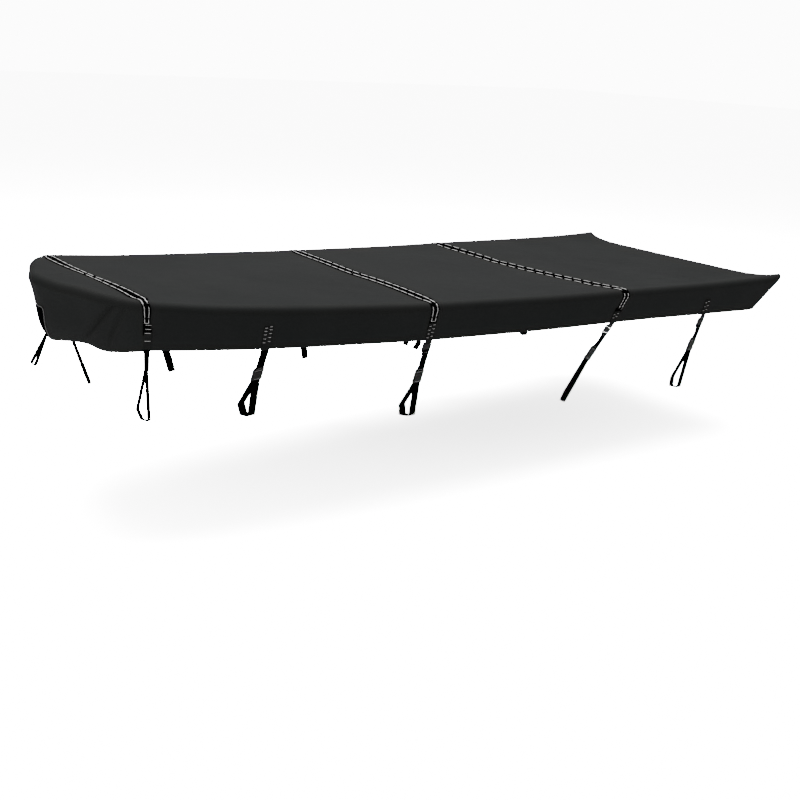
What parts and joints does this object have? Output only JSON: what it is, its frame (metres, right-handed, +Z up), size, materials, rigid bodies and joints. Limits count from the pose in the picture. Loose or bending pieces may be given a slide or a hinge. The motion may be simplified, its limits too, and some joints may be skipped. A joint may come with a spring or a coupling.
{
  "type": "fitted boat cover with tie-down straps",
  "caption": "Soft hollow cover for a small open boat: a shallow sagging top, a short skirt, webbing bands over the top and side tie-downs with plastic buckles and rail loops.",
  "frame": {"origin": "on the centreline, half way along the cover, at the underside of the top panel", "axes": "+X towards the stern, +Y to starboard, +Z up"},
  "size_m": [4.957, 1.9, 0.9406],
  "materials": {
    "cloth": "coated woven polyester, dull with a faint sheen",
    "patch": "stiff doubled cloth with light piping",
    "webbing": "woven black webbing, light stitching",
    "plastic": "moulded dark grey plastic"
  },
  "bodies": {
    "root": {"adjuster_aft_port": "plastic", "adjuster_aft_starboard": "plastic", "adjuster_mid_port": "plastic", "adjuster_mid_starboard": "plastic", "adjuster_stern_port": "plastic", "adjuster_stern_starboard": "plastic", "band_aft": "webbing", "band_bow": "webbing", "band_mid": "webbing", "bow_patch": "patch", "bow_strap": "webbing", "buckle_head_aft_port": "plastic", "buckle_head_aft_starboard": "plastic", "buckle_head_fore_port": "plastic", "buckle_head_fore_starboard": "plastic", "buckle_head_mid_port": "plastic", "buckle_head_mid_starboard": "plastic", "buckle_head_stern_port": "plastic", "buckle_head_stern_starboard": "plastic", "buckle_socket_aft_port": "plastic", "buckle_socket_aft_starboard": "plastic", "buckle_socket_fore_port": "plastic", "buckle_socket_fore_starboard": "plastic", "buckle_socket_mid_port": "plastic", "buckle_socket_mid_starboard": "plastic", "buckle_socket_stern_port": "plastic", "buckle_socket_stern_starboard": "plastic", "loop_aft_port": "webbing", "loop_aft_starboard": "webbing", "loop_bow_port": "webbing", "loop_bow_starboard": "webbing", "loop_fore_port": "webbing", "loop_fore_starboard": "webbing", "loop_mid_port": "webbing", "loop_mid_starboard": "webbing", "loop_stern_port": "webbing", "loop_stern_starboard": "webbing", "port_side_panel": "cloth", "starboard_side_panel": "cloth", "stern_panel": "cloth", "strap_aft_port": "webbing", "strap_aft_starboard": "webbing", "strap_mid_port": "webbing", "strap_mid_starboard": "webbing", "strap_stern_port": "webbing", "strap_stern_starboard": "webbing", "tab_aft_port": "webbing", "tab_aft_starboard": "webbing", "tab_bow_port": "webbing", "tab_bow_starboard": "webbing", "tab_fore_port": "webbing", "tab_fore_starboard": "webbing", "tab_mid_port": "webbing", "tab_mid_starboard": "webbing", "tab_stern_port": "webbing", "tab_stern_starboard": "webbing", "top_panel": "cloth"}
  },
  "joints": []
}
